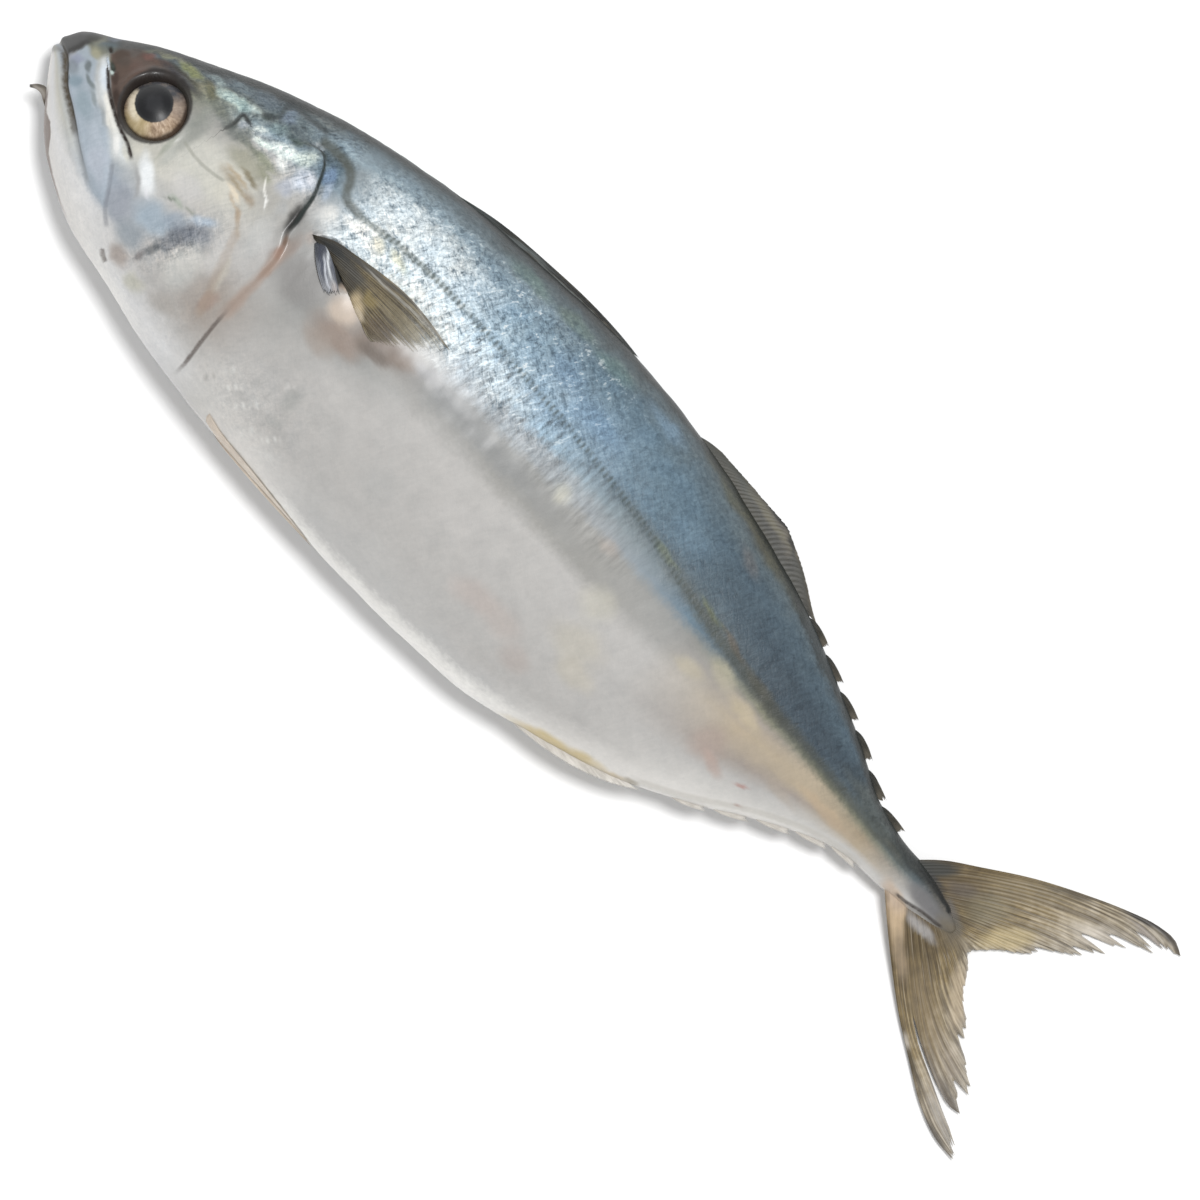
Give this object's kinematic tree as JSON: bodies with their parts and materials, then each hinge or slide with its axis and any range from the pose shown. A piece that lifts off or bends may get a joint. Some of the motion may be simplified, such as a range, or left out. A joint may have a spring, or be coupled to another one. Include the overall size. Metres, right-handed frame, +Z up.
{
  "type": "mackerel",
  "caption": "Whole deep-bodied mackerel lying on its right flank, with closed mouth, folded fins and a forked tail.",
  "frame": {"origin": "on the surface under the fish, at the middle of its outline", "axes": "+X from the snout to the tail, +Y towards the back, +Z up out of the left flank"},
  "size_m": [0.2252, 0.058, 0.0313],
  "materials": {
    "skin": "wet, silvery belly and blue-grey back",
    "eye": "wet, glossy, cloudy dark pupil in a gold-brown iris",
    "dark_fin": "moist dark olive fin skin over fine rays",
    "pale_fin": "moist cream fin skin over fine rays",
    "pectoral_fin": "moist olive-gold fin skin over fine rays"
  },
  "bodies": {
    "root": {"body": "skin", "eye_left": "eye", "eye_right": "eye", "first_dorsal_fin": "dark_fin", "second_dorsal_fin": "dark_fin", "dorsal_finlet_1": "dark_fin", "dorsal_finlet_2": "dark_fin", "dorsal_finlet_3": "dark_fin", "dorsal_finlet_4": "dark_fin", "dorsal_finlet_5": "dark_fin", "dorsal_finlet_6": "dark_fin", "anal_fin": "pale_fin", "anal_finlet_1": "pale_fin", "anal_finlet_2": "pale_fin", "anal_finlet_3": "pale_fin", "anal_finlet_4": "pale_fin", "anal_finlet_5": "pale_fin", "pectoral_fin_left": "pectoral_fin", "pectoral_fin_right": "pectoral_fin", "pelvic_fin_left": "pale_fin", "pelvic_fin_right": "pale_fin", "caudal_fin": "dark_fin"}
  },
  "joints": []
}
